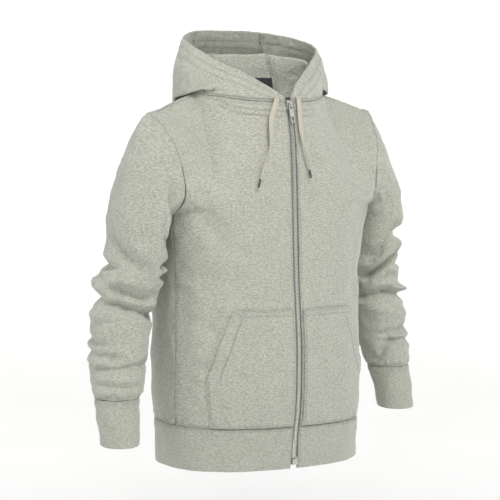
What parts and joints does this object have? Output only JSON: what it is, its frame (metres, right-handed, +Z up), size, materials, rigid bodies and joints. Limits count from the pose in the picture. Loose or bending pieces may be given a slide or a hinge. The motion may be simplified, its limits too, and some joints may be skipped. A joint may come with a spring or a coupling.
{
  "type": "zip-up hooded sweatshirt",
  "caption": "Youth's zip-up hooded sweatshirt, filled out as worn: hood down, slanted front pockets, ribbed cuffs and hem band, drawcord ends and a metal zip with a swinging pull tab.",
  "frame": {"origin": "on the centre line between the two points where a shoulder seam meets the neck seam, where a wearer's neck and shoulders hold the garment", "axes": "+Z up, the wearer faces -Y, +X to the wearer's left"},
  "size_m": [0.5601, 0.2466, 0.6512],
  "materials": {
    "jersey": "grey marl loopback cotton jersey with a soft, slightly fuzzy face",
    "rib": "grey marl fine rib knit",
    "zip_tape": "woven grey tape",
    "zip_metal": "dull nickel",
    "cord": "flat woven ecru cotton cord",
    "tip_metal": "dark metal tips",
    "label": "plain charcoal woven label"
  },
  "bodies": {
    "garment": {"front_left": "jersey", "front_right": "jersey", "back": "jersey", "sleeve_left": "jersey", "sleeve_right": "jersey", "pocket_left": "jersey", "pocket_right": "jersey", "hood_left": "jersey", "hood_right": "jersey", "hood_middle": "jersey", "hem_band": "rib", "cuff_left": "rib", "cuff_right": "rib", "neck_label": "label", "zip_tape_left": "zip_tape", "zip_tape_right": "zip_tape", "zip_chain": "zip_metal", "zip_slider": "zip_metal", "zip_box": "zip_metal", "drawcord_left": "cord", "drawcord_right": "cord", "cord_tip_left": "tip_metal", "cord_tip_right": "tip_metal"},
    "pull_tab": {"pull_tab": "zip_metal"}
  },
  "joints": [
    {"name": "pull_tab_swing", "type": "hinge", "parent": "garment", "child": "pull_tab", "pos_m": [0, -0.08572, -0.01632], "axis": [-1, 0, 0], "range_deg": [0, 165]}
  ]
}
